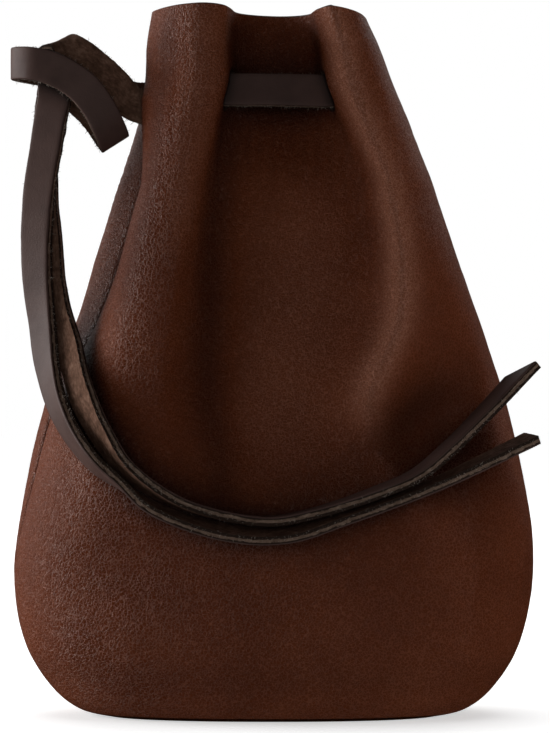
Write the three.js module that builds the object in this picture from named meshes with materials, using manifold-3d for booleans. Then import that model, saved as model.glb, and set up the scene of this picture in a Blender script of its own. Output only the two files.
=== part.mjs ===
// A leather drawstring pouch: two panels sewn together, drawn in at the neck by a flat lace knotted at a side.
// Millimetres, +Z up, front towards -Y, right hand towards +X. The pouch stands on Z = 0.
import * as THREE from "three";
import { mergeVertices } from "three/addons/utils/BufferGeometryUtils.js";
import Module from "manifold-3d";

const wasm = await Module();
wasm.setup();

// Driving dimensions
const LEATHER = 1.8; // thickness of both panels
const SEAM_ROLL = 2.2; // outer radius of a panel's edge where it turns in to the seam
const SEAM_GAP = 0.3; // between the two turned edges
const RIM_LIFT = 2.2; // how far the rim rises from the middle of the neck to the tops of the folds
const RIM_SLOPE = 0.02; // fall of the rim from left to right
const ROUNDNESS = 2.3; // power of the smooth sections, where 2 is an ellipse
const LACE_WIDTH = 7.2;
const LACE_THICKNESS = 2.0;
const LACE_BEVEL = 0.4; // of the lace's long edges
const SLIT_PLAY = 0.6; // room round the lace in a slit
const SLIT_DEPTH = 8; // length of the cut along the lace

// Fineness of the faceted solids
const COLUMNS = 24; // across a panel
const WALL_ROWS = 26; // from rim to base ring
const BASE_ROWS = 2; // from base ring to bottom seam
const ROLL_STEPS = 2; // round a turned edge
const LACE_STEP = 4.5; // longest step along the lace
const LACE_TURN = 0.5; // most that the lace turns in one step, in radians
const SECTION_SAMPLES = 160;

// Level sections from rim to base: reach to each side in mm, how far the leather is drawn into folds (0 to 1),
// which of the folds' plans it follows (0 the neck's, 1 the throat's, 2 the belly's), and how far the left seam
// lies round to the front, and the right seam round to the back, in degrees.
const SECTION_COLUMNS =
  ["height", "left", "right", "front", "back", "gather", "level", "leftSeam", "rightSeam"];
const SECTIONS = [
  [153.2, 26.8, 20.4, 20.6, 18.6, 1, 0, 28, 8],
  [146.5, 28.0, 23.6, 20.4, 18.4, 1, 0, 28, 8],
  [138.4, 28.6, 26.7, 20.5, 18.5, 1, 0, 28, 8],
  [128.0, 31.4, 30.9, 21.2, 19.2, 0.98, 0.55, 30, 8],
  [117.0, 34.8, 35.2, 22.2, 20.3, 0.95, 1, 32, 8],
  [104.0, 38.9, 39.6, 23.7, 22.0, 0.92, 1.08, 31, 8],
  [88.0, 43.8, 45.6, 25.4, 24.0, 0.88, 1.36, 25, 7],
  [68.0, 51.0, 52.6, 26.6, 25.8, 0.82, 2, 19, 5],
  [47.0, 55.9, 56.8, 27.0, 27.0, 0.34, 2, 9, 2],
  [30.0, 57.6, 57.4, 26.8, 26.8, 0.03, 2, 2, 0],
  [16.0, 55.0, 54.6, 25.3, 25.3, 0, 2, 0, 0],
  [6.5, 49.5, 48.8, 22.4, 22.4, 0, 2, 0, 0],
  [1.6, 43.5, 42.8, 19.8, 19.8, 0, 2, 0, 0],
  [0.0, 37.0, 36.4, 17.0, 17.0, 0, 2, 0, 0],
].map((row) => Object.fromEntries(SECTION_COLUMNS.map((column, i) => [column, row[i]])));

// Folds of each panel from the left seam to the right seam, in plan at three of those sections: at the neck,
// through the slits, at the throat below, where the folds begin to open, and at the belly, where they fade out
const LEVELS = { neck: SECTIONS[2], throat: SECTIONS[4], belly: SECTIONS[7] };
const FRONT_FOLDS = [
  { place: "left seam", neck: [-25.6, -3.2], throat: [-28.6, -9.4], belly: [-48.6, -10.0] },
  { place: "left fold, outer side", neck: [-28.4, -9.8], throat: [-29.2, -13.8], belly: [-44.4, -17.6] },
  { place: "left fold, outer shoulder", neck: [-22.8, -17.6], throat: [-26.8, -19.3], belly: [-36.4, -23.8] },
  { place: "left fold, ridge", neck: [-16.4, -20.3], throat: [-18.8, -20.6], belly: [-25.6, -25.0] },
  { place: "left fold, inner shoulder", neck: [-11.2, -18.4], throat: [-16.4, -18.2], belly: [-21.4, -22.8] },
  { place: "valley, left foot", neck: [-7.8, -10.0], throat: [-12.6, -14.0], belly: [-15.9, -20.0] },
  { place: "valley, floor", neck: [0.8, -7.6], throat: [3.0, -14.2], belly: [-1.0, -19.6] },
  { place: "valley, right foot", neck: [9.2, -9.8], throat: [16.8, -14.8], belly: [8.0, -20.4] },
  { place: "right fold, inner shoulder", neck: [11.9, -15.8], throat: [20.6, -17.6], belly: [12.4, -23.0] },
  { place: "right fold, ridge", neck: [16.0, -20.0], throat: [24.6, -21.6], belly: [17.4, -26.6] },
  { place: "right fold, outer corner", neck: [22.6, -16.0], throat: [30.6, -15.6], belly: [30.0, -20.0] },
  { place: "right fold, outer side", neck: [26.2, -6.6], throat: [34.6, -6.0], belly: [45.2, -13.0] },
  { place: "right seam", neck: [25.8, 2.0], throat: [34.8, 2.6], belly: [52.4, 3.1] },
];
const BACK_FOLDS = [
  { place: "left seam", neck: [-25.6, -3.2], throat: [-28.6, -9.4], belly: [-48.6, -10.0] },
  { place: "left fold, front side", neck: [-27.4, 1.6], throat: [-34.0, -3.4], belly: [-50.8, -3.0] },
  { place: "left fold, outer side", neck: [-27.2, 9.5], throat: [-33.6, 7.0], belly: [-47.5, 10.8] },
  { place: "left fold, ridge", neck: [-18.4, 18.4], throat: [-22.0, 18.8], belly: [-33.0, 21.8] },
  { place: "left fold, inner shoulder", neck: [-10.4, 15.6], throat: [-12.0, 18.4], belly: [-18.0, 23.4] },
  { place: "valley, left foot", neck: [-7.2, 9.4], throat: [-6.4, 14.8], belly: [-9.0, 23.2] },
  { place: "valley, floor", neck: [0.5, 7.4], throat: [0.5, 13.4], belly: [0.5, 22.8] },
  { place: "valley, right foot", neck: [7.8, 9.4], throat: [7.2, 14.8], belly: [10.0, 23.6] },
  { place: "right fold, inner shoulder", neck: [10.8, 15.4], throat: [12.6, 18.2], belly: [19.0, 24.6] },
  { place: "right fold, ridge", neck: [17.4, 18.5], throat: [21.0, 20.2], belly: [31.0, 22.8] },
  { place: "right fold, outer side", neck: [24.8, 11.5], throat: [31.6, 12.4], belly: [47.5, 12.4] },
  { place: "right seam", neck: [25.8, 2.0], throat: [34.8, 2.6], belly: [52.4, 3.1] },
];

// Dents of the front panel: middle, rise of its axis to the right in degrees, half length, half width and depth
const DENTS = [
  { x: 37.0, z: 66.0, rise: 30, halfLength: 23.0, halfWidth: 7.0, depth: 4.0 },
];

// Courses of the lace: points of its middle line, and the way its grain side faces there. A slit names the
// panel that the lace goes through at that point.
const LOOP_COURSE = [
  { at: [-48.8, -6.2, 136.2], grain: [-0.1, -1, 0] },
  { at: [-48.4, -5.9, 138.2], grain: [-0.1, -0.9, 0.4] },
  { at: [-46.8, -4.9, 139.3], grain: [-0.2, 0, 1] },
  { at: [-43.9, -3.9, 137.0], grain: [0, 0.95, 0.3] },
  { at: [-40.2, -3.8, 133.6], grain: [0.05, 1, 0] },
  { at: [-37.3, -4.4, 129.8], grain: [0.3, 0.9, -0.2] },
  { at: [-35.3, -7.8, 126.8], grain: [0.55, 0, -0.85] },
  { at: [-36.4, -11.2, 129.8], grain: [0.35, -0.9, -0.2] },
  { at: [-38.6, -12.1, 134.2], grain: [0.15, -1, 0] },
  { at: [-41.6, -12.4, 138.0], grain: [0.05, -1, 0.05] },
  { at: [-45.2, -12.4, 140.7], grain: [0, -1, 0.05] },
  { at: [-49.2, -12.2, 142.6], grain: [-0.05, -1, 0.05] },
  { at: [-53.6, -11.2, 143.6], grain: [-0.35, -0.93, 0] },
  { at: [-57.0, -6.8, 143.8], grain: [-1, 0, 0] },
  { at: [-53.8, -2.4, 143.4], grain: [-0.35, 0.93, 0] },
  { at: [-49.0, -1.5, 142.6], grain: [0, 1, 0] },
  { at: [-43.0, -1.3, 141.0], grain: [0.05, 1, 0] },
  { at: [-36.5, -1.0, 138.4], grain: [0.1, 1, 0] },
  { at: [-31.4, 0.9, 136.9], grain: [0.35, 0.94, 0] },
  { at: [-26.9, 2.6, 136.8], grain: [0.36, 0.93, 0], slit: "back" },
  { at: [-22.2, 4.5, 137.0], grain: [0.38, 0.92, 0] },
  { at: [-16.2, 10.6, 138.0], grain: [0.45, 0.9, 0] },
  { at: [-9.0, 12.8, 138.4], grain: [0, 1, 0], slit: "back" },
  { at: [0.4, 13.2, 138.5], grain: [0, 1, 0] },
  { at: [9.4, 12.7, 138.4], grain: [0.05, 1, 0], slit: "back" },
  { at: [15.5, 11.0, 138.2], grain: [0.35, 0.93, 0] },
  { at: [20.2, 6.4, 138.0], grain: [0.85, 0.5, 0] },
  { at: [21.4, 0.2, 138.0], grain: [1, 0, 0] },
  { at: [20.6, -6.4, 138.1], grain: [0.9, -0.43, 0] },
  { at: [15.8, -11.2, 137.6], grain: [0.42, -0.89, 0.18] },
  { at: [10.6, -13.5, 137.3], grain: [0.3, -0.94, 0.18], slit: "front" },
  { at: [0.6, -15.2, 137.4], grain: [0, -0.97, 0.22] },
  { at: [-9.4, -14.2, 137.5], grain: [-0.2, -0.96, 0.18], slit: "front" },
  { at: [-12.7, -13.7, 137.6], grain: [-0.16, -0.96, 0.16] },
  { at: [-18.2, -11.8, 136.6], grain: [0, -0.1, -1] },
  { at: [-22.4, -8.9, 133.9], grain: [0.1, 0.98, -0.2] },
  { at: [-24.6, -8.0, 133.5], grain: [0.12, 1, 0] },
  { at: [-27.4, -7.6, 133.8], grain: [0.12, 1, 0], slit: "front" },
  { at: [-31.5, -7.4, 135.2], grain: [0.1, 1, -0.05] },
  { at: [-35.1, -8.2, 139.2], grain: [0, 1, -0.1] },
  { at: [-39.6, -9.0, 143.2], grain: [-0.05, 1, -0.15] },
  { at: [-44.0, -9.6, 146.2], grain: [0, 0.95, -0.3] },
  { at: [-47.2, -8.6, 147.9], grain: [0.4, 0.1, -0.9] },
  { at: [-48.2, -7.2, 145.4], grain: [0.15, -0.95, -0.1] },
  { at: [-48.2, -8.6, 141.4], grain: [0, -1, 0] },
  { at: [-48.2, -9.0, 138.6], grain: [-0.1, -1, 0] },
];
const OUTER_TAIL_COURSE = [
  { at: [-48.2, -9.1, 138.2], grain: [-0.1, -1, 0] },
  { at: [-48.2, -9.3, 136.2], grain: [-0.15, -0.99, 0] },
  { at: [-48.8, -9.2, 133.0], grain: [-0.35, -0.94, 0] },
  { at: [-49.9, -9.4, 126.2], grain: [-0.39, -0.92, 0] },
  { at: [-51.4, -9.8, 116.4], grain: [-0.44, -0.9, 0] },
  { at: [-52.1, -10.2, 106.5], grain: [-0.51, -0.86, 0] },
  { at: [-51.9, -10.9, 96.6], grain: [-0.6, -0.8, 0] },
  { at: [-50.8, -11.9, 86.8], grain: [-0.7, -0.7, -0.08] },
  { at: [-49.4, -14.6, 77.1], grain: [-0.74, -0.65, -0.17] },
  { at: [-46.1, -20.8, 67.1], grain: [-0.74, -0.56, -0.37] },
  { at: [-38.8, -28.5, 56.9], grain: [-0.75, -0.3, -0.59] },
  { at: [-32.2, -30.5, 51.8], grain: [-0.67, -0.09, -0.74] },
  { at: [-26.6, -31.3, 47.4], grain: [-0.5, 0.1, -0.86] },
  { at: [-12.1, -31.3, 42.2], grain: [-0.22, 0.24, -0.94] },
  { at: [2.4, -31.2, 41.2], grain: [0.13, 0.22, -0.96] },
  { at: [16.1, -31.5, 45.3], grain: [0.3, 0.16, -0.94] },
  { at: [34.2, -29.5, 51.8], grain: [0.34, 0.12, -0.93] },
  { at: [45.4, -23.4, 56.7], grain: [0.38, 0.19, -0.9] },
  { at: [56.1, -17.2, 61.6], grain: [0.39, 0.24, -0.89] },
];
const INNER_TAIL_COURSE = [
  { at: [-48.9, -6.2, 135.4], grain: [-0.1, -1, 0] },
  { at: [-49.2, -5.7, 133.5], grain: [0, -1, 0] },
  { at: [-49.4, -4.4, 129.2], grain: [0.5, -0.87, 0] },
  { at: [-49.6, -3.7, 123.8], grain: [1, 0, 0] },
  { at: [-50.3, -5.0, 118.5], grain: [0.8, 0.6, 0] },
  { at: [-50.9, -7.1, 112.5], grain: [0.44, 0.9, 0] },
  { at: [-50.0, -8.3, 106.4], grain: [0.5, 0.87, 0] },
  { at: [-49.0, -9.6, 96.5], grain: [0.55, 0.83, 0.05] },
  { at: [-47.3, -11.7, 88.7], grain: [0.58, 0.8, 0.12] },
  { at: [-44.5, -15.8, 81.1], grain: [0.6, 0.77, 0.18] },
  { at: [-41.0, -23.7, 70.4], grain: [0.64, 0.72, 0.28] },
  { at: [-36.8, -27.9, 62.6], grain: [0.68, 0.57, 0.45] },
  { at: [-31.6, -30.7, 55.5], grain: [0.65, 0.4, 0.64] },
  { at: [-24.5, -31.8, 50.4], grain: [0.54, 0.22, 0.8] },
  { at: [-16.5, -31.6, 46.9], grain: [0.38, 0.1, 0.92] },
  { at: [-1.3, -31.4, 44.3], grain: [-0.05, 0, 1] },
  { at: [9.3, -31.4, 46.2], grain: [-0.2, -0.03, 0.98] },
  { at: [23.0, -31.4, 50.8], grain: [-0.36, -0.12, 0.93] },
  { at: [30.3, -30.4, 54.0], grain: [-0.5, -0.16, 0.85] },
  { at: [37.1, -27.3, 59.4], grain: [-0.63, -0.21, 0.75] },
  { at: [44.4, -23.1, 66.3], grain: [-0.68, -0.26, 0.69] },
  { at: [53.8, -18.0, 75.9], grain: [-0.64, -0.31, 0.7] },
];

// Smooth value of one column of a table at a row position, which may lie between two rows.
function along(rows, column, position) {
  const row = Math.min(Math.floor(position), rows.length - 2);
  const value = (i) => rows[THREE.MathUtils.clamp(i, 0, rows.length - 1)][column];
  const [before, start, end, after] = [value(row - 1), value(row), value(row + 1), value(row + 2)];
  const f = position - row;
  const slopeIn = (end - before) / 2;
  const slopeOut = (after - start) / 2;
  const rise = end - start;
  return start + f * (slopeIn + f * (3 * rise - 2 * slopeIn - slopeOut + f * (slopeIn + slopeOut - 2 * rise)));
}

// Evenly spaced points along a polyline, from its first point to its last.
function evenly(points, count) {
  const reached = [0];
  for (let i = 1; i < points.length; i++) reached.push(reached[i - 1] + points[i].distanceTo(points[i - 1]));
  const total = reached[reached.length - 1];
  const even = [];
  for (let k = 0, i = 0; k <= count; k++) {
    const goal = (total * k) / count;
    while (i < points.length - 2 && reached[i + 1] < goal) i++;
    even.push(points[i].clone().lerp(points[i + 1], (goal - reached[i]) / (reached[i + 1] - reached[i])));
  }
  return even;
}

// A panel's folds at each level, in shares of the reach to each side there. Points are evenly spaced along the
// neck, and lower down each lies on the same fold as at the neck.
function foldCurves(folds) {
  const pointsAt = (level) => folds.map((fold) => new THREE.Vector3(...fold[level], 0));
  const spline = (level) => new THREE.CatmullRomCurve3(pointsAt(level));
  const neck = spline("neck");
  neck.arcLengthDivisions = 20 * SECTION_SAMPLES;
  const evenPlace = (_, k) => neck.getUtoTmapping(k / SECTION_SAMPLES);
  const places = Array.from({ length: SECTION_SAMPLES + 1 }, evenPlace);
  const share = ({ x, y }, reach) =>
    new THREE.Vector2(x / (x < 0 ? reach.left : reach.right), y / (y < 0 ? reach.front : reach.back));
  return Object.entries(LEVELS).map(([level, reach]) => {
    const curve = spline(level);
    return places.map((place) => share(curve.getPoint(place), reach));
  });
}

// A point given in shares of the reach to each side, in mm.
function spread(x, y, reach) {
  return [x * (x < 0 ? reach.left : reach.right), y * (y < 0 ? reach.front : reach.back)];
}

// A panel's share of a smooth section between two angles, counted from the left through the front.
function smoothCurve(reach, fromDegrees, toDegrees) {
  const points = [];
  const steps = 4 * SECTION_SAMPLES;
  const rounded = (v) => Math.sign(v) * Math.abs(v) ** (2 / ROUNDNESS);
  for (let k = 0; k <= steps; k++) {
    const angle = THREE.MathUtils.degToRad(fromDegrees + ((toDegrees - fromDegrees) * k) / steps);
    const [x, y] = [-rounded(Math.cos(angle)), -rounded(Math.sin(angle))];
    points.push(new THREE.Vector2(...spread(x, y, reach)));
  }
  return evenly(points, SECTION_SAMPLES);
}

const PANELS = {
  front: { outward: -1, folds: foldCurves(FRONT_FOLDS) },
  back: { outward: 1, folds: foldCurves(BACK_FOLDS) },
};

// The outer plan curve of both panels at a row position of SECTIONS, fitted to that section's reach.
function section(position) {
  const reach = {};
  for (const column of SECTION_COLUMNS) reach[column] = along(SECTIONS, column, position);
  const smooth = {
    front: smoothCurve(reach, reach.leftSeam, 180 + reach.rightSeam),
    back: smoothCurve(reach, reach.leftSeam, reach.rightSeam - 180),
  };
  const curves = {};
  const upper = reach.level < 1 ? 0 : 1;
  for (const side of ["front", "back"]) {
    const { folds } = PANELS[side];
    curves[side] = folds[upper].map((fold, k) => {
      const { x, y } = fold.clone().lerp(folds[upper + 1][k], reach.level - upper);
      const folded = new THREE.Vector2(...spread(x, y, reach));
      return smooth[side][k].clone().lerp(folded, reach.gather);
    });
  }
  const all = [...curves.front, ...curves.back];
  const fit = {
    left: reach.left / -Math.min(...all.map((p) => p.x)),
    right: reach.right / Math.max(...all.map((p) => p.x)),
    front: reach.front / -Math.min(...all.map((p) => p.y)),
    back: reach.back / Math.max(...all.map((p) => p.y)),
  };
  for (const p of all) p.set(...spread(p.x, p.y, fit));
  return { ...curves, reach };
}

// The sections of the wall's rows, from rim to base ring
const WALL = Array.from({ length: WALL_ROWS + 1 }, (_, r) => {
  const position = ((SECTIONS.length - 1) * r) / WALL_ROWS;
  return { position, ...section(position) };
});

// Shares along a panel for its columns: half by length and half by how sharply the folds bend.
function columnShares(folds) {
  const bend = folds.map((p, k) => {
    if (k === 0 || k === folds.length - 1) return 0;
    const [into, out] = [p.clone().sub(folds[k - 1]), folds[k + 1].clone().sub(p)];
    return Math.abs(Math.atan2(into.cross(out), into.dot(out)));
  });
  const whole = bend.reduce((sum, b) => sum + b, 0);
  const reached = [0];
  for (let k = 1; k < folds.length; k++)
    reached.push(reached[k - 1] + 0.5 / SECTION_SAMPLES + (0.25 * (bend[k] + bend[k - 1])) / whole);
  const shares = [];
  for (let c = 0, k = 0; c <= COLUMNS; c++) {
    const goal = (reached[SECTION_SAMPLES] * c) / COLUMNS;
    while (k < SECTION_SAMPLES - 1 && reached[k + 1] < goal) k++;
    shares.push((k + (goal - reached[k]) / (reached[k + 1] - reached[k])) / SECTION_SAMPLES);
  }
  return shares;
}

// Point of a plan curve at a share of its samples, kept clear of the seams by the width of the turned edge.
function insideSeams(curve, share) {
  let length = 0;
  for (let k = 1; k < curve.length; k++) length += curve[k].distanceTo(curve[k - 1]);
  const margin = (SEAM_ROLL + SEAM_GAP / 2) / length;
  const place = (margin + (1 - 2 * margin) * share) * (curve.length - 1);
  const k = Math.min(Math.floor(place), curve.length - 2);
  return curve[k].clone().lerp(curve[k + 1], place - k);
}

// A point of a section's plan at its height. The rim rises where the folds stand out, and falls to the right.
function raised({ x, y }, reach, position) {
  const rimShare = Math.max(0, 1 - position / 2);
  const depth = Math.abs(y) / (y < 0 ? reach.front : reach.back);
  return new THREE.Vector3(x, y, reach.height + rimShare * (RIM_LIFT * depth - RIM_SLOPE * x));
}

// How far the front panel is pressed in at a place seen from the front.
function dentDepth(x, z) {
  let total = 0;
  for (const dent of DENTS) {
    const rise = THREE.MathUtils.degToRad(dent.rise);
    const [awayX, awayZ] = [x - dent.x, z - dent.z];
    const along = (awayX * Math.cos(rise) + awayZ * Math.sin(rise)) / dent.halfLength;
    const beside = (awayZ * Math.cos(rise) - awayX * Math.sin(rise)) / dent.halfWidth;
    total += dent.depth * Math.exp(-(along ** 2) - beside ** 2);
  }
  return total;
}

// Rows of outer points of a panel from rim to bottom seam, short of the turned edges.
function panelRows(side) {
  const { folds, outward } = PANELS[side];
  const shares = columnShares(folds[0]);
  const rows = WALL.map(({ position, reach, [side]: curve }) =>
    shares.map((share) => raised(insideSeams(curve, share), reach, position)));
  if (side === "front") for (const p of rows.flat()) p.y += dentDepth(p.x, p.z);
  const ring = rows[WALL_ROWS];
  const seamY = outward * (SEAM_ROLL + SEAM_GAP / 2);
  for (const p of ring) p.y = outward * Math.max(outward * p.y, outward * seamY);
  for (let r = 1; r <= BASE_ROWS; r++)
    rows.push(ring.map(({ x, y }) => new THREE.Vector3(x, THREE.MathUtils.lerp(y, seamY, r / BASE_ROWS), 0)));
  return rows;
}

// The seam that a panel's turned edge meets: down the left side, along the bottom and up the right side.
// Each place has its point, the way across to the other panel, and the way into the pouch.
function seamPlaces(side, rows) {
  const { outward } = PANELS[side];
  const other = outward < 0 ? "back" : "front";
  const sidePlace = (share) => ({ position, reach, ...curves }) => {
    const here = insideSeams(curves[side], share);
    const there = insideSeams(curves[other], share);
    const across = there.sub(here).normalize();
    const point = raised(curves[side][share * SECTION_SAMPLES], reach, position);
    return { point, across: new THREE.Vector3(across.x, across.y, 0) };
  };
  const left = WALL.map(sidePlace(0));
  const right = WALL.map(sidePlace(1)).reverse();
  const bottom = rows[rows.length - 1].slice(1, -1).map(({ x }) => (
    { point: new THREE.Vector3(x, 0, 0), across: new THREE.Vector3(0, -outward, 0) }));
  const places = [...left, ...bottom, ...right];
  places.forEach((place, k) => {
    const before = places[Math.max(k - 1, 0)].point;
    const run = places[Math.min(k + 1, places.length - 1)].point.clone().sub(before).normalize();
    place.across.addScaledVector(run, -run.dot(place.across)).normalize();
    place.inward = run.cross(place.across).multiplyScalar(-outward);
  });
  return places;
}

// Area-weighted normals of a triangle mesh given as points and corner triples.
function pointNormals(points, triangles) {
  const normals = points.map(() => new THREE.Vector3());
  for (const [a, b, c] of triangles) {
    const normal = points[b].clone().sub(points[a]).cross(points[c].clone().sub(points[a]));
    for (const corner of [a, b, c]) normals[corner].add(normal);
  }
  for (const normal of normals) normal.normalize();
  return normals;
}

// A closed solid from an open sheet of leather: the sheet, its offset inwards, and a wall round its edge.
function thicken(points, normals, triangles, edge) {
  const positions = [];
  for (const p of points) positions.push(...p.toArray());
  points.forEach((p, i) => positions.push(...p.clone().addScaledVector(normals[i], -LEATHER).toArray()));
  const inner = points.length;
  const index = [];
  for (const [a, b, c] of triangles) index.push(a, b, c, a + inner, c + inner, b + inner);
  edge.forEach((a, k) => {
    const b = edge[(k + 1) % edge.length];
    index.push(a, a + inner, b, b, a + inner, b + inner);
  });
  return closedGeometry(positions, index);
}

// Triangles with shared corners, without those that have shrunk to a line.
function closedGeometry(positions, index) {
  let geometry = new THREE.BufferGeometry();
  geometry.setAttribute("position", new THREE.Float32BufferAttribute(positions, 3));
  geometry.setIndex(index);
  geometry = mergeVertices(geometry, 1e-3);
  const merged = geometry.getIndex().array;
  const kept = [];
  for (let i = 0; i < merged.length; i += 3) {
    const [a, b, c] = [merged[i], merged[i + 1], merged[i + 2]];
    if (a !== b && b !== c && c !== a) kept.push(a, b, c);
  }
  geometry.setIndex(kept);
  return geometry;
}

// One panel: its outer face, with the sides and the bottom turned in towards the seam, given its thickness.
function panel(side) {
  const rows = panelRows(side);
  const flip = PANELS[side].outward > 0;
  const points = rows.flat();
  const lastRow = rows.length - 1;
  // The rows of the base all meet in one point at each end of the bottom seam.
  const at = (r, c) => (c === 0 || c === COLUMNS ? Math.min(r, WALL_ROWS) : r) * (COLUMNS + 1) + c;
  const triangles = [];
  const addQuad = (a, b, c, d) => {
    const pair = flip ? [[a, c, b], [a, d, c]] : [[a, b, c], [a, c, d]];
    triangles.push(...pair.filter((corners) => new Set(corners).size === 3));
  };
  for (let r = 0; r < lastRow; r++)
    for (let c = 0; c < COLUMNS; c++) addQuad(at(r, c), at(r + 1, c), at(r + 1, c + 1), at(r, c + 1));
  const normals = pointNormals(points, triangles);

  // The seam edge runs down the left side, along the bottom and up the right side.
  const seam = [];
  for (let r = 0; r <= WALL_ROWS; r++) seam.push(at(r, 0));
  for (let c = 1; c < COLUMNS; c++) seam.push(at(lastRow, c));
  for (let r = WALL_ROWS; r >= 0; r--) seam.push(at(r, COLUMNS));
  const last = seam.length - 1;
  const places = seamPlaces(side, rows);
  const rings = [seam];
  for (let step = 1; step <= ROLL_STEPS; step++) {
    const turn = step / ROLL_STEPS;
    const turned = seam.map((i, k) => {
      const { point, across, inward } = places[k];
      const corner = point.clone().addScaledVector(across, -SEAM_GAP / 2);
      const end = corner.clone().addScaledVector(inward, SEAM_ROLL);
      normals.push(normals[i].clone().lerp(across, turn).normalize());
      return points.push(new THREE.QuadraticBezierCurve3(points[i], corner, end).getPoint(turn)) - 1;
    });
    const ring = rings[step - 1];
    for (let k = 0; k < last; k++) addQuad(ring[k], turned[k], turned[k + 1], ring[k + 1]);
    rings.push(turned);
  }

  // The free edge: along the last turn, up over the right-hand turns, back along the rim and down the left-hand
  // turns.
  const between = rings.slice(1, -1);
  const rim = Array.from({ length: COLUMNS + 1 }, (_, c) => at(0, COLUMNS - c));
  const rightTurns = between.map((ring) => ring[last]).reverse();
  const leftTurns = between.map((ring) => ring[0]);
  const edge = [...rings[ROLL_STEPS], ...rightTurns, ...rim, ...leftTurns];
  return thicken(points, normals, triangles, flip ? edge.reverse() : edge);
}

// The lace's frames along a course: its middle point, the way along it, the way its grain side faces and the
// way across it. Steps are closer where the lace turns over quickly.
function laceFrames(course) {
  const middle = new THREE.CatmullRomCurve3(course.map(({ at }) => new THREE.Vector3(...at)));
  const sides = course.map(({ grain }) => new THREE.Vector3(...grain));
  const facing = new THREE.CatmullRomCurve3(sides, false, "catmullrom");
  const spans = course.length - 1;
  const frameAt = (place) => {
    const along = middle.getTangent(place / spans);
    const grain = facing.getPoint(place / spans);
    grain.addScaledVector(along, -grain.dot(along)).normalize();
    return { point: middle.getPoint(place / spans), along, grain, across: along.clone().cross(grain) };
  };
  const frames = [frameAt(0)];
  for (let row = 0; row < spans; row++) {
    const [start, end] = [frameAt(row), frameAt(row + 1)];
    const turn = Math.max(start.along.angleTo(end.along), start.grain.angleTo(end.grain));
    const steps = Math.ceil(Math.max(start.point.distanceTo(end.point) / LACE_STEP, turn / LACE_TURN));
    for (let k = 1; k <= steps; k++) frames.push(frameAt(row + k / steps));
  }
  return { frames, frameAt };
}

// The flat lace along a course, with its long edges bevelled.
function lace(course) {
  const [w, h, b] = [LACE_WIDTH / 2, LACE_THICKNESS / 2, LACE_BEVEL];
  const grainSide = [[w, b - h], [w, h - b], [w - b, h], [b - w, h]];
  const corners = [...grainSide, ...grainSide.map(([x, y]) => [-x, -y])];
  const { frames } = laceFrames(course);
  const positions = [];
  for (const { point, grain, across } of frames)
    for (const [x, y] of corners)
      positions.push(...point.clone().addScaledVector(across, x).addScaledVector(grain, y).toArray());
  const sides = corners.length;
  const index = [];
  for (let k = 0; k + 1 < frames.length; k++)
    for (let i = 0; i < sides; i++) {
      const [a, b1] = [k * sides + i, k * sides + ((i + 1) % sides)];
      index.push(a, a + sides, b1, b1, a + sides, b1 + sides);
    }
  const end = (frames.length - 1) * sides;
  for (let i = 1; i + 1 < sides; i++) index.push(0, i, i + 1, end, end + i + 1, end + i);
  return closedGeometry(positions, index);
}

// A slit's cutter: a slot with round ends, as wide as the lace and a little more, set along the lace.
function slitCutter({ point, along, grain, across }) {
  const [w, h] = [LACE_WIDTH / 2 + SLIT_PLAY, LACE_THICKNESS / 2 + SLIT_PLAY];
  const slot = new THREE.Shape();
  slot.absarc(w - h, 0, h, -Math.PI / 2, Math.PI / 2);
  slot.absarc(h - w, 0, h, Math.PI / 2, (3 * Math.PI) / 2);
  const cutter = new THREE.ExtrudeGeometry(slot, { depth: SLIT_DEPTH, bevelEnabled: false, curveSegments: 6 });
  cutter.translate(0, 0, -SLIT_DEPTH / 2);
  const frame = new THREE.Matrix4().makeBasis(across, grain, along.clone().negate()).setPosition(point);
  return cutter.applyMatrix4(frame);
}

// Solids for cutting, and back
function toSolid(geometry) {
  const bare = geometry.clone();
  bare.deleteAttribute("normal");
  bare.deleteAttribute("uv");
  const merged = mergeVertices(bare, 1e-4);
  const vertProperties = new Float32Array(merged.getAttribute("position").array);
  const triVerts = new Uint32Array(merged.getIndex().array);
  return new wasm.Manifold(new wasm.Mesh({ numProp: 3, vertProperties, triVerts }));
}

function toGeometry(solid) {
  const { vertProperties, triVerts } = solid.getMesh();
  return closedGeometry(Array.from(vertProperties), Array.from(triVerts));
}

const slits = { front: [], back: [] };
const { frameAt } = laceFrames(LOOP_COURSE);
LOOP_COURSE.forEach(({ slit }, row) => slit && slits[slit].push(slitCutter(frameAt(row))));

function slitPanel(side) {
  const cut = slits[side].reduce((solid, cutter) => solid.subtract(toSolid(cutter)), toSolid(panel(side)));
  return toGeometry(cut);
}

// The pouch
const POUCH_LEATHER = { color: 0x4a2a1e, roughness: 0.55, metalness: 0 };
const LACE_LEATHER = { color: 0x2b201d, roughness: 0.7, metalness: 0 };
const pouch = new THREE.Group();
pouch.name = "drawstring_pouch";
for (const [name, geometry, leather] of [
  ["front_panel", slitPanel("front"), POUCH_LEATHER],
  ["back_panel", slitPanel("back"), POUCH_LEATHER],
  ["lace_loop", lace(LOOP_COURSE), LACE_LEATHER],
  ["lace_tail_outer", lace(OUTER_TAIL_COURSE), LACE_LEATHER],
  ["lace_tail_inner", lace(INNER_TAIL_COURSE), LACE_LEATHER],
]) {
  const mesh = new THREE.Mesh(geometry, new THREE.MeshStandardMaterial(leather));
  mesh.name = name;
  pouch.add(mesh);
}

export default pouch;
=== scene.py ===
import math

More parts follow.
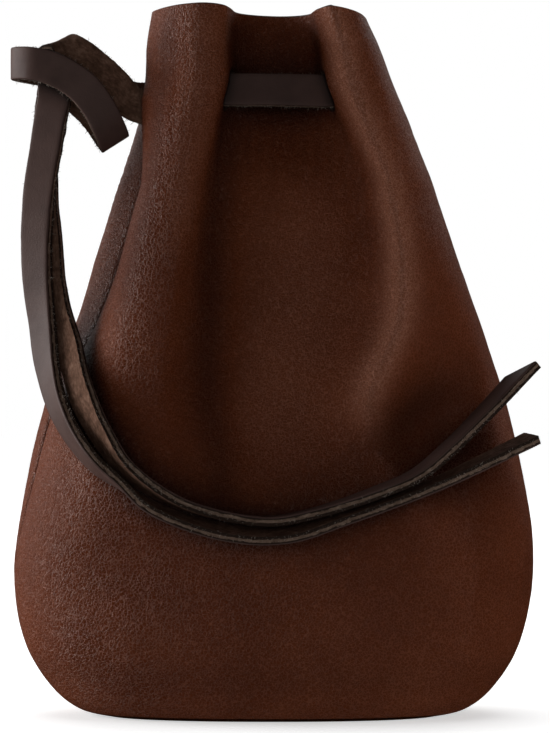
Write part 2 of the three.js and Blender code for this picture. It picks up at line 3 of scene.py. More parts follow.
import bpy
import numpy as np
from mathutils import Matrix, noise


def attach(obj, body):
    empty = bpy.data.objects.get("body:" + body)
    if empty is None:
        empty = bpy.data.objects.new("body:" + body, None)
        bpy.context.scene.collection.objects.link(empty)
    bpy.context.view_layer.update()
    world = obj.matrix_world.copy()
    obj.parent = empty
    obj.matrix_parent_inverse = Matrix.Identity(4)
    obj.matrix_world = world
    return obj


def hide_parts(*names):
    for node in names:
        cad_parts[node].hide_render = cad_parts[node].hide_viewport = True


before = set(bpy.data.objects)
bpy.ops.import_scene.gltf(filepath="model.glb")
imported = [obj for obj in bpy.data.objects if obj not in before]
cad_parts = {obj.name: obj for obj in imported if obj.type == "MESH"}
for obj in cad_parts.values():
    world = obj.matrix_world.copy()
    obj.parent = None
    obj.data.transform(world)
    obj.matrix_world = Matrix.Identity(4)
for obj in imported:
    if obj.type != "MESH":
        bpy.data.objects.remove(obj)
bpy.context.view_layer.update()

# Lengths are in millimetres, as in the solids, until a mesh is made
MM = 0.001

# The camera stands straight in front, level with the middle of the pouch
IMAGE_HEIGHT_PX = 733
PX_PER_MM = 4.5
CAMERA_AT = (0.2, -750.0, 77.2)
SENSOR_WIDTH = 36.0

camera = bpy.data.objects.new("camera", bpy.data.cameras.new("camera"))
camera.location = [v * MM for v in CAMERA_AT]
camera.rotation_euler = (math.radians(90), 0, 0)
camera.data.sensor_width = SENSOR_WIDTH
camera.data.lens = SENSOR_WIDTH * PX_PER_MM * -CAMERA_AT[1] / IMAGE_HEIGHT_PX
bpy.context.scene.collection.objects.link(camera)
bpy.context.scene.camera = camera

# The lace's sizes. Its slits leave more play here than in the solids, so that their dark ends show.
LACE_WIDTH = 7.2
LACE_THICKNESS = 2.0
LACE_ROUNDING = 0.35
LACE_STEP = 0.4
SLIT_PLAY = 1.0
SLIT_DEPTH = 8.0

# Courses of the lace, the same as in the solids, but that the tails begin up to 0.8 mm higher: points of its
# middle line, and the way its grain side faces. A third entry names the panel that the lace goes through there.
LOOP_COURSE = [
    ((-48.8, -6.2, 136.2), (-0.1, -1, 0)),
    ((-48.4, -5.9, 138.2), (-0.1, -0.9, 0.4)),
    ((-46.8, -4.9, 139.3), (-0.2, 0, 1)),
    ((-43.9, -3.9, 137.0), (0, 0.95, 0.3)),
    ((-40.2, -3.8, 133.6), (0.05, 1, 0)),
    ((-37.3, -4.4, 129.8), (0.3, 0.9, -0.2)),
    ((-35.3, -7.8, 126.8), (0.55, 0, -0.85)),
    ((-36.4, -11.2, 129.8), (0.35, -0.9, -0.2)),
    ((-38.6, -12.1, 134.2), (0.15, -1, 0)),
    ((-41.6, -12.4, 138.0), (0.05, -1, 0.05)),
    ((-45.2, -12.4, 140.7), (0, -1, 0.05)),
    ((-49.2, -12.2, 142.6), (-0.05, -1, 0.05)),
    ((-53.6, -11.2, 143.6), (-0.35, -0.93, 0)),
    ((-57.0, -6.8, 143.8), (-1, 0, 0)),
    ((-53.8, -2.4, 143.4), (-0.35, 0.93, 0)),
    ((-49.0, -1.5, 142.6), (0, 1, 0)),
    ((-43.0, -1.3, 141.0), (0.05, 1, 0)),
    ((-36.5, -1.0, 138.4), (0.1, 1, 0)),
    ((-31.4, 0.9, 136.9), (0.35, 0.94, 0)),
    ((-26.9, 2.6, 136.8), (0.36, 0.93, 0), "back"),
    ((-22.2, 4.5, 137.0), (0.38, 0.92, 0)),
    ((-16.2, 10.6, 138.0), (0.45, 0.9, 0)),
    ((-9.0, 12.8, 138.4), (0, 1, 0), "back"),
    ((0.4, 13.2, 138.5), (0, 1, 0)),
    ((9.4, 12.7, 138.4), (0.05, 1, 0), "back"),
    ((15.5, 11.0, 138.2), (0.35, 0.93, 0)),
    ((20.2, 6.4, 138.0), (0.85, 0.5, 0)),
    ((21.4, 0.2, 138.0), (1, 0, 0)),
    ((20.6, -6.4, 138.1), (0.9, -0.43, 0)),
    ((15.8, -11.2, 137.6), (0.42, -0.89, 0.18)),
    ((10.6, -13.5, 137.3), (0.3, -0.94, 0.18), "front"),
    ((0.6, -15.2, 137.4), (0, -0.97, 0.22)),
    ((-9.4, -14.2, 137.5), (-0.2, -0.96, 0.18), "front"),
    ((-12.7, -13.7, 137.6), (-0.16, -0.96, 0.16)),
    ((-18.2, -11.8, 136.6), (0, -0.1, -1)),
    ((-22.4, -8.9, 133.9), (0.1, 0.98, -0.2)),
    ((-24.6, -8.0, 133.5), (0.12, 1, 0)),
    ((-27.4, -7.6, 133.8), (0.12, 1, 0), "front"),
    ((-31.5, -7.4, 135.2), (0.1, 1, -0.05)),
    ((-35.1, -8.2, 139.2), (0, 1, -0.1)),
    ((-39.6, -9.0, 143.2), (-0.05, 1, -0.15)),
    ((-44.0, -9.6, 146.2), (0, 0.95, -0.3)),
    ((-47.2, -8.6, 147.9), (0.4, 0.1, -0.9)),
    ((-48.2, -7.2, 145.4), (0.15, -0.95, -0.1)),
    ((-48.2, -8.6, 141.4), (0, -1, 0)),
    ((-48.2, -9.0, 138.6), (-0.1, -1, 0)),
]
OUTER_TAIL_COURSE = [
    ((-48.2, -9.0, 138.7), (-0.1, -1, 0)),
    ((-48.2, -9.3, 136.2), (-0.15, -0.99, 0)),
    ((-48.8, -9.2, 133.0), (-0.35, -0.94, 0)),
    ((-49.9, -9.4, 126.2), (-0.39, -0.92, 0)),
    ((-51.4, -9.8, 116.4), (-0.44, -0.9, 0)),
    ((-52.1, -10.2, 106.5), (-0.51, -0.86, 0)),
    ((-51.9, -10.9, 96.6), (-0.6, -0.8, 0)),
    ((-50.8, -11.9, 86.8), (-0.7, -0.7, -0.08)),
    ((-49.4, -14.6, 77.1), (-0.74, -0.65, -0.17)),
    ((-46.1, -20.8, 67.1), (-0.74, -0.56, -0.37)),
    ((-38.8, -28.5, 56.9), (-0.75, -0.3, -0.59)),
    ((-32.2, -30.5, 51.8), (-0.67, -0.09, -0.74)),
    ((-26.6, -31.3, 47.4), (-0.5, 0.1, -0.86)),
    ((-12.1, -31.3, 42.2), (-0.22, 0.24, -0.94)),
    ((2.4, -31.2, 41.2), (0.13, 0.22, -0.96)),
    ((16.1, -31.5, 45.3), (0.3, 0.16, -0.94)),
    ((34.2, -29.5, 51.8), (0.34, 0.12, -0.93)),
    ((45.4, -23.4, 56.7), (0.38, 0.19, -0.9)),
    ((56.1, -17.2, 61.6), (0.39, 0.24, -0.89)),
]
INNER_TAIL_COURSE = [
    ((-48.8, -6.2, 136.2), (-0.1, -1, 0)),
    ((-49.2, -5.7, 133.5), (0, -1, 0)),
    ((-49.4, -4.4, 129.2), (0.5, -0.87, 0)),
    ((-49.6, -3.7, 123.8), (1, 0, 0)),
    ((-50.3, -5.0, 118.5), (0.8, 0.6, 0)),
    ((-50.9, -7.1, 112.5), (0.44, 0.9, 0)),
    ((-50.0, -8.3, 106.4), (0.5, 0.87, 0)),
    ((-49.0, -9.6, 96.5), (0.55, 0.83, 0.05)),
    ((-47.3, -11.7, 88.7), (0.58, 0.8, 0.12)),
    ((-44.5, -15.8, 81.1), (0.6, 0.77, 0.18)),
    ((-41.0, -23.7, 70.4), (0.64, 0.72, 0.28)),
    ((-36.8, -27.9, 62.6), (0.68, 0.57, 0.45)),
    ((-31.6, -30.7, 55.5), (0.65, 0.4, 0.64)),
    ((-24.5, -31.8, 50.4), (0.54, 0.22, 0.8)),
    ((-16.5, -31.6, 46.9), (0.38, 0.1, 0.92)),
    ((-1.3, -31.4, 44.3), (-0.05, 0, 1)),
    ((9.3, -31.4, 46.2), (-0.2, -0.03, 0.98)),
    ((23.0, -31.4, 50.8), (-0.36, -0.12, 0.93)),
    ((30.3, -30.4, 54.0), (-0.5, -0.16, 0.85)),
    ((37.1, -27.3, 59.4), (-0.63, -0.21, 0.75)),
    ((44.4, -23.1, 66.3), (-0.68, -0.26, 0.69)),
    ((53.8, -18.0, 75.9), (-0.64, -0.31, 0.7)),
]


def length_of(vectors):
    return np.linalg.norm(vectors, axis=-1, keepdims=True)


def unit(vectors):
    return vectors / length_of(vectors)


class Spline:
    """A smooth curve through rows of points. Places on it are counted in rows."""

    def __init__(self, points, centripetal=True, flat_ends=False):
        points = np.asarray(points, float)
        first = points[0] if flat_ends else 2 * points[0] - points[1]
        last = points[-1] if flat_ends else 2 * points[-1] - points[-2]
        self.points = np.vstack([first, points, last])
        self.spans = len(points) - 1
        self.centripetal = centripetal

    def at(self, places):
        places = np.asarray(places, float)
        rows = np.clip(places.astype(int), 0, self.spans - 1)
        f = (places - rows)[..., None]
        before, start, end, after = (self.points[rows + k] for k in range(4))
        slope_in = (end - before) / 2
        slope_out = (after - start) / 2
        rise = end - start
        if self.centripetal:
            d0, d1, d2 = (np.sqrt(length_of(v)) for v in (start - before, rise, after - end))
            slope_in = d1 * ((start - before) / d0 - (end - before) / (d0 + d1)) + rise
            slope_out = rise + d1 * ((after - end) / d2 - (after - start) / (d1 + d2))
        curve = 3 * rise - 2 * slope_in - slope_out + f * (slope_in + slope_out - 2 * rise)
        return start + f * (slope_in + f * curve)

    def even_places(self, count, per_row=60):
        """count + 1 places that are the same distance apart along the curve."""
        places = np.linspace(0, self.spans, per_row * self.spans + 1)
        reached = run_of(self.at(places))
        return np.interp(np.linspace(0, reached[-1], count + 1), reached, places)


def run_of(points):
    """Distance run along a line of points, from 0 at the first."""
    return np.concatenate([[0], np.cumsum(length_of(np.diff(points, axis=0))[:, 0])])


def tube_faces(sides, rings):
    """Four-cornered faces between rings of points, each with that many sides."""
    faces = []
    for start in range(0, (rings - 1) * sides, sides):
        for i in range(sides):
            a, b = start + i, start + (i + 1) % sides
            faces.append((a, b, b + sides, a + sides))
    return faces


def named(columns, table):
    """Rows of a table, with their values under the names of its columns."""
    return [dict(zip(columns, row)) for row in table]


# How far apart the noise of two seeds is taken, and the least angle that shows as a sharp edge
SEED_STEP = 31.7
SHARP_DEGREES = 50


def rough(points, size, seed):
    """Smooth noise from about -1 to 1 at each point. The bumps have one size in mm, or one for each way."""
    scaled = np.asarray(points) / size + SEED_STEP * seed
    return np.array([noise.noise(p) for p in scaled.tolist()])


def make_piece(name, points, faces, materials, face_slots, uv):
    """A mesh object from points in mm, with a material slot for each face and a lay for each point."""
    mesh = bpy.data.meshes.new(name)
    mesh.from_pydata((np.asarray(points) * MM).tolist(), [], faces)
    for material in materials:
        mesh.materials.append(material)
    mesh.polygons.foreach_set("material_index", np.asarray(face_slots, np.int32))
    mesh.polygons.foreach_set("use_smooth", np.ones(len(faces), bool))
    corners = np.empty(len(mesh.loops), np.int32)
    mesh.loops.foreach_get("vertex_index", corners)
    layer = mesh.uv_layers.new(name="lay")
    layer.data.foreach_set("uv", (np.asarray(uv, np.float32)[corners] * MM).ravel())
    mesh.set_sharp_from_angle(angle=math.radians(SHARP_DEGREES))
    piece = bpy.data.objects.new(name, mesh)
    bpy.context.scene.collection.objects.link(piece)
    return piece


def set_point_values(piece, name, values):
    """A value for each point of a piece, which its materials can read by name."""
    layer = piece.data.attributes.new(name, "FLOAT", "POINT")
    layer.data.foreach_set("value", values.astype(np.float32))


# Colours of the leather and the floor, as shares of red, green and blue
POUCH_BROWNS = [(0.194, 0.0445, 0.0122), (0.270, 0.0650, 0.0190), (0.366, 0.0990, 0.0335)]
# Painted highlight on ridges, partly rubbed wear, and painted shade in creases and hollows
POUCH_RUBBED_AND_PAINTED_HIGHLIGHT = (0.6, 0.245, 0.15)
POUCH_PAINTED_CREASE_SHADE = (0.05, 0.0095, 0.0028)
# Painted shade in the pouch's folds and recesses
POUCH_PAINTED_RECESS_SHADE = (0.045, 0.0085, 0.0026)
POUCH_CELL_TINT = (0.42, 0.29, 0.19)
POUCH_FLESH = [(0.05, 0.02, 0.011), (0.11, 0.052, 0.031)]
POUCH_EDGE = [(0.028, 0.011, 0.006), (0.075, 0.032, 0.018)]
LACE_BROWNS = [(0.087, 0.05, 0.0425), (0.124, 0.072, 0.061)]
LACE_SCUFFED = (0.11, 0.075, 0.062)
# Painted shade where the lace goes into the slits and under the knot
LACE_PAINTED_RECESS_SHADE = (0.008, 0.005, 0.0042)
LACE_FLESH = [(0.055, 0.027, 0.0165), (0.155, 0.081, 0.053), (0.31, 0.18, 0.127)]
LACE_SKIN = (0.034, 0.02, 0.0145)
LACE_EDGE = [(0.07, 0.043, 0.03), (0.21, 0.138, 0.1), (0.4, 0.29, 0.225)]
FIBRE_BROWNS = [(0.2, 0.15, 0.115), (0.55, 0.47, 0.4)]
FLOOR_WHITES = [(0.86, 0.86, 0.855), (0.9, 0.9, 0.9)]
WHITE = (1, 1, 1)

# Grain of the pouch's leather, in cells or bumps to the metre
PEBBLES = 1350
CREASES = 420
FINE_GRAIN = 3600
TONE_PATCHES = 45

# Heights over which shelter begins to count, in shares of its reach, as the table isn't to count
SHELTER_COUNTS = (0.3, 1.2)


# Materials
class Nodes:
    """A material's nodes, with short ways to add the ones that are used often."""

    def __init__(self, name):
        self.material = bpy.data.materials.new(name)
        self.material.use_nodes = True
        self.tree = self.material.node_tree
        self.shader = self.tree.nodes["Principled BSDF"]

    def add(self, kind, inputs=(), **settings):
        """A shader node of a kind, with values or other nodes' outputs for its inputs."""
        node = self.tree.nodes.new("ShaderNode" + kind)
        for key, value in settings.items():
            setattr(node, key, value)
        for key, value in dict(inputs).items():
            self.set(node.inputs[key], value)
        return node

    def set(self, socket, value):
        if isinstance(value, bpy.types.NodeSocket):
            self.tree.links.new(value, socket)
        else:
            socket.default_value = (*value, 1) if socket.type == "RGBA" else value

    def shade(self, **values):
        for key, value in values.items():
            self.set(self.shader.inputs[key.replace("_", " ")], value)

    def place(self):
        """Where a point is, in metres."""
        return self.add("TexCoord").outputs["Object"]

    def lay(self):
        """Where a point is along and across the leather, in metres."""
        return self.add("UVMap", uv_map="lay").outputs["UV"]

    def stretched(self, vector, scale):
        return self.add("Mapping", {"Vector": vector, "Scale": scale}).outputs["Vector"]

    def noise(self, vector, per_metre, detail=2.0, roughness=0.5):
        inputs = {"Vector": vector, "Scale": per_metre, "Detail": detail, "Roughness": roughness}
        return self.add("TexNoise", inputs).outputs["Fac"]

    def cells(self, vector, per_metre):
        """Distance to the nearest border between cells."""
        inputs = {"Vector": vector, "Scale": per_metre}
        return self.add("TexVoronoi", inputs, feature="DISTANCE_TO_EDGE").outputs["Distance"]

    def bent(self, vector, per_metre, amount):
        """The place, pushed about by noise."""
        push = self.add("TexNoise", {"Vector": vector, "Scale": per_metre, "Detail": 2.0})
        inputs = {0: push.outputs["Color"], 1: (0.5, 0.5, 0.5)}
        centred = self.add("VectorMath", inputs, operation="SUBTRACT").outputs["Vector"]
        inputs = {0: centred, 1: (amount, amount, amount), 2: vector}
        return self.add("VectorMath", inputs, operation="MULTIPLY_ADD").outputs["Vector"]

    def spread(self, value, low, high, to_low=0.0, to_high=1.0):
        """A value between low and high, spread from to_low to to_high."""
        inputs = {"Value": value, "From Min": low, "From Max": high, "To Min": to_low, "To Max": to_high}
        return self.add("MapRange", inputs).outputs["Result"]

    def sum(self, *terms):
        """Sum of values, each given with its weight."""
        total = 0.0
        for value, weight in terms:
            total = self.add("Math", {0: value, 1: weight, 2: total}, operation="MULTIPLY_ADD").outputs[0]
        return total

    def ramp(self, value, colours, low=0.3, high=0.7):
        """Colours spread evenly over values from low to high."""
        node = self.add("ValToRGB", {"Fac": self.spread(value, low, high)})
        stops = node.color_ramp.elements
        while len(stops) < len(colours):
            stops.new(0.5)
        for k, colour in enumerate(colours):
            stops[k].position = k / (len(colours) - 1)
            stops[k].color = (*colour, 1)
        return node.outputs["Color"]

    def mix(self, share, first, second, blend="MIX"):
        inputs = {"Factor": share, "A": first, "B": second}
        return self.add("Mix", inputs, data_type="RGBA", blend_type=blend).outputs["Result"]

    def recess(self, reach_mm, open_share, closed_share, most):
        """How sheltered a place is by what stands within reach of it, from 0 in the open, as the share of
        painted shade.
        """
        reach = reach_mm * MM
        shelter = self.add("AmbientOcclusion", {"Distance": reach}, samples=8).outputs["AO"]
        height = self.add("SeparateXYZ", {"Vector": self.place()}).outputs["Z"]
        above_table = self.spread(height, *(share * reach for share in SHELTER_COUNTS))
        return self.sum((self.spread(shelter, open_share, closed_share, 0.0, most), above_table))

    def bump(self, height, depth_mm):
        inputs = {"Height": height, "Distance": depth_mm * MM, "Strength": 1.0}
        return self.add("Bump", inputs).outputs["Normal"]


def pouch_grain_material():
    """Full-grain leather: a satin pebble of dark cells between pale lines, with painted highlights on ridges,
    partly rubbed pale, and painted shade in creases and recesses.
    """
    n = Nodes("pouch_grain")
    place = n.place()
    pebble = n.spread(n.cells(n.bent(place, 1100, 0.0011), PEBBLES), 0.0, 0.14)
    crease = n.spread(n.cells(n.bent(place, 260, 0.003), CREASES), 0.0, 0.12)
    fine = n.noise(place, FINE_GRAIN, detail=3.0, roughness=0.6)
    patch = n.noise(place, TONE_PATCHES, detail=4.0, roughness=0.6)
    colour = n.ramp(n.sum((patch, 0.55), (fine, 0.45)), POUCH_BROWNS)
    # Painted highlights on ridges, partly rubbed pale, and painted shade in creases, read from the points'
    # values
    painted_light_and_wear = n.add("Attribute", attribute_name="painted_light_and_wear").outputs["Fac"]
    colour = n.mix(n.spread(painted_light_and_wear, 0.0, 1.0), colour, POUCH_RUBBED_AND_PAINTED_HIGHLIGHT)
    colour = n.mix(n.spread(painted_light_and_wear, 0.0, -1.0), colour, POUCH_PAINTED_CREASE_SHADE)
    # Painted shade in folds and recesses, darker where ambient occlusion is higher
    shelter = n.recess(18, open_share=0.9, closed_share=0.42, most=0.95)
    colour = n.mix(shelter, colour, POUCH_PAINTED_RECESS_SHADE)
    in_cells = n.spread(n.sum((pebble, 0.55), (fine, 1.3)), 0.7, 1.3)
    colour = n.mix(n.sum((in_cells, 0.8)), colour, POUCH_CELL_TINT, blend="MULTIPLY")
    height = n.sum((pebble, 0.5), (crease, 0.3), (fine, 0.45))
    dullness = n.spread(n.sum((pebble, 0.6), (patch, 0.4)), 0.1, 0.9, to_low=0.4, to_high=0.5)
    shine = n.spread(in_cells, 0.0, 1.0, to_low=0.6, to_high=0.05)
    n.shade(Base_Color=colour, Roughness=dullness, Specular_IOR_Level=shine, Normal=n.bump(height, 0.26))
    return n.material


def pouch_flesh_material():
    """The inside of the leather: napped and dull."""
    n = Nodes("pouch_flesh")
    place = n.place()
    nap = n.noise(place, 1500, detail=4.0, roughness=0.7)
    patch = n.noise(place, 60, detail=3.0)
    colour = n.ramp(n.sum((nap, 0.6), (patch, 0.4)), POUCH_FLESH)
    n.shade(Base_Color=colour, Roughness=0.95, Sheen_Weight=0.15, Normal=n.bump(nap, 0.2))
    return n.material


def pouch_edge_material():
    """The cut edge of the leather at the rim and in the slits."""
    n = Nodes("pouch_edge")
    fibre = n.noise(n.place(), 2200, detail=3.0, roughness=0.7)
    colour = n.ramp(fibre, POUCH_EDGE)
    n.shade(Base_Color=colour, Roughness=0.85, Normal=n.bump(fibre, 0.2))
    return n.material


def lace_grain_material():
    """The lace's smooth side: dark brown and dull, with light scuffs, and painted shade where it goes in and
    near what stands close to it.
    """
    n = Nodes("lace_grain")
    place = n.place()
    fine = n.noise(place, 2600, detail=3.0, roughness=0.6)
    patch = n.noise(place, 120, detail=3.0, roughness=0.6)
    scratch = n.noise(n.stretched(n.lay(), (60, 900, 1)), 1.0, detail=4.0, roughness=0.65)
    scuff = n.spread(scratch, 0.58, 0.75)
    colour = n.ramp(patch, LACE_BROWNS)
    colour = n.mix(n.sum((scuff, 0.35)), colour, LACE_SCUFFED)
    # Painted shade near the slits and under the knot, from ambient occlusion
    shelter = n.recess(3.5, open_share=0.92, closed_share=0.5, most=0.95)
    colour = n.mix(shelter, colour, LACE_PAINTED_RECESS_SHADE)
    dullness = n.spread(patch, 0.2, 0.8, to_low=0.56, to_high=0.48)
    n.shade(Base_Color=colour, Roughness=dullness, Specular_IOR_Level=0.16, Normal=n.bump(fine, 0.05))
    return n.material


def lace_flesh_material():
    """The lace's rough side: brown nap, mottled."""
    n = Nodes("lace_flesh")
    nap = n.noise(n.stretched(n.lay(), (700, 1500, 1)), 1.0, detail=5.0, roughness=0.7)
    blotch = n.noise(n.place(), 420, detail=4.0, roughness=0.65)
    colour = n.ramp(n.sum((nap, 0.5), (blotch, 0.5)), LACE_FLESH, low=0.32, high=0.68)
    height = n.sum((nap, 0.6), (blotch, 0.6))
    n.shade(Base_Color=colour, Roughness=0.95, Specular_IOR_Level=0.1, Normal=n.bump(height, 0.3))
    return n.material


def lace_edge_material():
    """The lace's cut edges: pale fibres between a dark skin on each side."""
    n = Nodes("lace_edge")
    fibre = n.noise(n.stretched(n.lay(), (260, 5200, 1)), 1.0, detail=4.0, roughness=0.7)
    fleck = n.noise(n.place(), 900, detail=3.0, roughness=0.6)
    depth = n.add("Attribute", attribute_name="depth").outputs["Fac"]
    ragged = n.sum((depth, 1.0), (fibre, 0.5), (fleck, 0.3))
    middle, half_width = 0.9, 0.16
    between_skins = n.add("Math", {0: ragged, 1: middle, 2: half_width}, operation="COMPARE")
    pale = n.ramp(n.sum((fibre, 0.6), (fleck, 0.4)), LACE_EDGE)
    colour = n.mix(between_skins.outputs[0], LACE_SKIN, pale)
    height = n.sum((fibre, 0.7), (fleck, 0.5))
    n.shade(Base_Color=colour, Roughness=0.9, Specular_IOR_Level=0.1, Normal=n.bump(height, 0.25))
    return n.material


def fibre_material():
    """The loose fibres along the lace's edges."""
    n = Nodes("lace_fibre")
    tone = n.noise(n.place(), 700)
    n.shade(Base_Color=n.ramp(tone, FIBRE_BROWNS, low=0.35, high=0.65), Roughness=0.8)
    return n.material


LACE_MATERIALS = [lace_grain_material(), lace_edge_material(), lace_flesh_material()]
FIBRE_MATERIAL = fibre_material()
GRAIN, EDGE, FLESH = range(3)

# Unevenness of the lace: how far edges, flesh side and faces move, the fray's least share, width of an edge,
# and size of the bumps along, across and through the lace
EDGE_WAVER = 0.12
EDGE_FRAY = 0.1
FLESH_NAP = 0.08
FACE_WAVER = 0.05
LEAST_FRAY = 0.25
EDGE_BAND = 0.8
WAVER_SIZE = (5.0, 25 / 3, 50 / 9)
FRAY_SIZE = (0.9, 0.45, 0.3)

# Length of the lace's end that a slanted cut draws out, and samples to measure a course by
SLANT_RUN = 6.0
COURSE_SAMPLES = 400


# The lace
def lace_section():
    """Points round the lace from the left edge over the grain side: across, up, and the material slot of the
    face that follows."""
    w, h, r = LACE_WIDTH / 2, LACE_THICKNESS / 2, LACE_ROUNDING
    edge_steps, face_steps, turn_steps = 5, 10, 3
    turn = [math.pi / 2 * k / turn_steps for k in range(turn_steps)]
    points = [(-w, -h + (2 * h - r) * k / edge_steps, EDGE) for k in range(edge_steps)]
    points += [(-w + r - r * math.cos(angle), h - r + r * math.sin(angle), GRAIN) for angle in turn]
    points += [(-w + r + (2 * w - 2 * r) * k / face_steps, h, GRAIN) for k in range(face_steps)]
    points += [(w - r + r * math.sin(angle), h - r + r * math.cos(angle), GRAIN) for angle in turn]
    points += [(w, h - r - (2 * h - r) * k / edge_steps, EDGE) for k in range(edge_steps)]
    points += [(w - 2 * w * k / face_steps, -h, FLESH) for k in range(face_steps)]
    return points


def lace_frames(course, places):
    """Middle, run, grain and across directions of the lace at places of its course."""
    middle = Spline([row[0] for row in course])
    facing = Spline([row[1] for row in course], centripetal=False)
    points = middle.at(places)
    nudge = 1e-3
    ahead = middle.at(np.minimum(places + nudge, middle.spans))
    behind = middle.at(np.maximum(places - nudge, 0))
    run = unit(ahead - behind)
    grain = facing.at(places)
    grain = unit(grain - run * np.sum(grain * run, axis=-1, keepdims=True))
    return points, run, grain, np.cross(run, grain)


def lace_places(course):
    """Places along a course that are about a lace step apart, and the course's length."""
    middle = Spline([row[0] for row in course])
    whole = run_of(middle.at(middle.even_places(COURSE_SAMPLES)))[-1]
    return middle.even_places(int(whole / LACE_STEP)), whole


def uneven_section(wide, high, reached, seed):
    """The lace's section at each step along it, made uneven: across, up, and how near each point of the
    section is to the flesh side, from 0 to 1."""
    steps, sides = len(reached), len(wide)
    spots = np.stack(np.broadcast_arrays(reached[:, None], wide[None], high[None]), axis=-1).reshape(-1, 3)
    waver = rough(spots, WAVER_SIZE, seed).reshape(steps, sides)
    fray = rough(spots, FRAY_SIZE, seed + 1).reshape(steps, sides)
    at_edge = np.clip((np.abs(wide) - LACE_WIDTH / 2 + EDGE_BAND) / EDGE_BAND, 0, 1)
    near_flesh = np.clip(0.5 - high / LACE_THICKNESS, 0, 1)
    x = wide + np.sign(wide) * at_edge * (EDGE_WAVER * waver + EDGE_FRAY * fray * (LEAST_FRAY + near_flesh))
    y = high + near_flesh * FLESH_NAP * fray + FACE_WAVER * waver * (1 - at_edge)
    return x, y, near_flesh


def lace_piece(name, course, seed, end_slant=0.0):
    """The flat lace along a course, its edges a little uneven, and cut off at a slant if one is given."""
    places, whole = lace_places(course)
    points, run, grain, across = lace_frames(course, places)
    wide, high, slots = (np.array(column) for column in zip(*lace_section()))
    sides = len(wide)
    steps = len(places)
    reached = np.linspace(0, whole, steps)
    x, y, near_flesh = uneven_section(wide, high, reached, seed)
    near_end = np.clip((reached - whole + SLANT_RUN) / SLANT_RUN, 0, 1)[:, None]
    slant = end_slant * near_end * (wide / (LACE_WIDTH / 2))
    body = (points[:, None] + across[:, None] * x[..., None] + grain[:, None] * y[..., None]
            + run[:, None] * slant[..., None])
    ends = [tuple(range(sides))[::-1], tuple((steps - 1) * sides + i for i in range(sides))]
    faces = tube_faces(sides, steps) + ends
    face_slots = np.concatenate([np.tile(slots, steps - 1), [EDGE, EDGE]])
    around = run_of(np.column_stack([wide, high]))
    uv = np.stack(np.broadcast_arrays(reached[:, None], around[None]), axis=-1).reshape(-1, 2)
    piece = make_piece(name + "_leather", body.reshape(-1, 3), faces, LACE_MATERIALS, face_slots, uv)
    set_point_values(piece, "depth", np.tile(near_flesh, steps))
    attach(piece, "root")
    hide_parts(name)
    return piece, points * MM, whole * MM


# Loose fibres of the lace: how many to a mm of each edge, shape and scale of the spread of their lengths,
# least and most of each size, where they root, how far they lean and bend, and their taper
FIBRES_PER_MM = 5.0
FIBRE_PLACES = (0.01, 0.99)
FIBRE_SPREAD = (2.0, 0.2)
FIBRE_LENGTH = (0.15, 1.1)
FIBRE_THICKNESS = (0.03, 0.065)
FIBRE_BELOW = (-0.2, 0.95)
FIBRE_INSET = 0.05
FIBRE_ROOT = 0.1
FIBRE_LEAN = 0.9
FIBRE_BEND = 0.8
FIBRE_BEND_AT = 0.55
FIBRE_TAPER = (1.0, 0.8, 0.25)
FIBRE_SIDES = 3


def fuzz_piece(name, course, seed):
    """Loose fibres along the flesh side's two long edges: thin closed spikes, each with one bend."""
    random = np.random.default_rng(seed)
    places, whole = lace_places(course)
    count = int(2 * whole * FIBRES_PER_MM)
    at = np.interp(random.uniform(*FIBRE_PLACES, count), np.linspace(0, 1, len(places)), places)
    points, _, grain, across = lace_frames(course, at)
    side = random.choice([-1.0, 1.0], count)[:, None]
    below = random.uniform(*FIBRE_BELOW, count)[:, None]
    root = points + across * side * (LACE_WIDTH / 2 - FIBRE_INSET) - grain * below
    long = random.gamma(*FIBRE_SPREAD, count)[:, None].clip(*FIBRE_LENGTH)
    first = unit(across * side + FIBRE_LEAN * random.normal(size=(count, 3)))
    second = unit(first + FIBRE_BEND * random.normal(size=(count, 3)))
    thick = random.uniform(*FIBRE_THICKNESS, count)[:, None]
    bend = root + first * long * FIBRE_BEND_AT
    tip = bend + second * long * (1 - FIBRE_BEND_AT)
    stations = (root - first * FIBRE_ROOT, bend, tip)
    side_a = unit(np.cross(first, grain))
    side_b = np.cross(first, side_a)
    corners = []
    for middle, share in zip(stations, FIBRE_TAPER):
        for k in range(FIBRE_SIDES):
            angle = 2 * math.pi * k / FIBRE_SIDES
            corners.append(middle + thick * share * (math.cos(angle) * side_a + math.sin(angle) * side_b))
    body = np.stack(corners, axis=1).reshape(-1, 3)
    pattern = [(2, 1, 0), (6, 7, 8)] + tube_faces(FIBRE_SIDES, len(stations))
    faces = [tuple(len(corners) * k + i for i in corner) for k in range(count) for corner in pattern]
    no_lay = np.zeros((len(body), 2))
    piece = make_piece(name, body, faces, [FIBRE_MATERIAL], np.zeros(len(faces)), no_lay)
    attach(piece, "root")
    return piece


# The free ends of the lace: course, seed, and how far the cut end slants
TAILS = {
    "lace_tail_outer": (OUTER_TAIL_COURSE, 3, 0.6),
    "lace_tail_inner": (INNER_TAIL_COURSE, 5, 2.6),
}
LOOP_SEED = 7
for tail_name, (tail_course, tail_seed, tail_slant) in TAILS.items():
    tail, tail_path, tail_length = lace_piece(tail_name, tail_course, tail_seed, tail_slant)
    tail_fuzz = fuzz_piece(tail_name + "_fuzz", tail_course, tail_seed)
lace_piece("lace_loop", LOOP_COURSE, LOOP_SEED)
fuzz_piece("lace_loop_fuzz", LOOP_COURSE, LOOP_SEED)

# The panels' sizes. The seam is drawn closer here than in the solids, so that no light shows through it.
LEATHER = 1.8
SEAM_ROLL = 2.2
SEAM_GAP = 0.02
RIM_LIFT = 2.2
RIM_SLOPE = 0.02
RIM_ROWS = 2
RIM_DOME = 0.3
ROUNDNESS = 2.3

# How finely the panels are divided
COLUMNS = 190
WALL_ROWS = 200
BASE_ROWS = 16
ROLL_STEPS = 6
EDGE_STEPS = 4
SECTION_SAMPLES = 320
PROFILE_SAMPLES = 2000

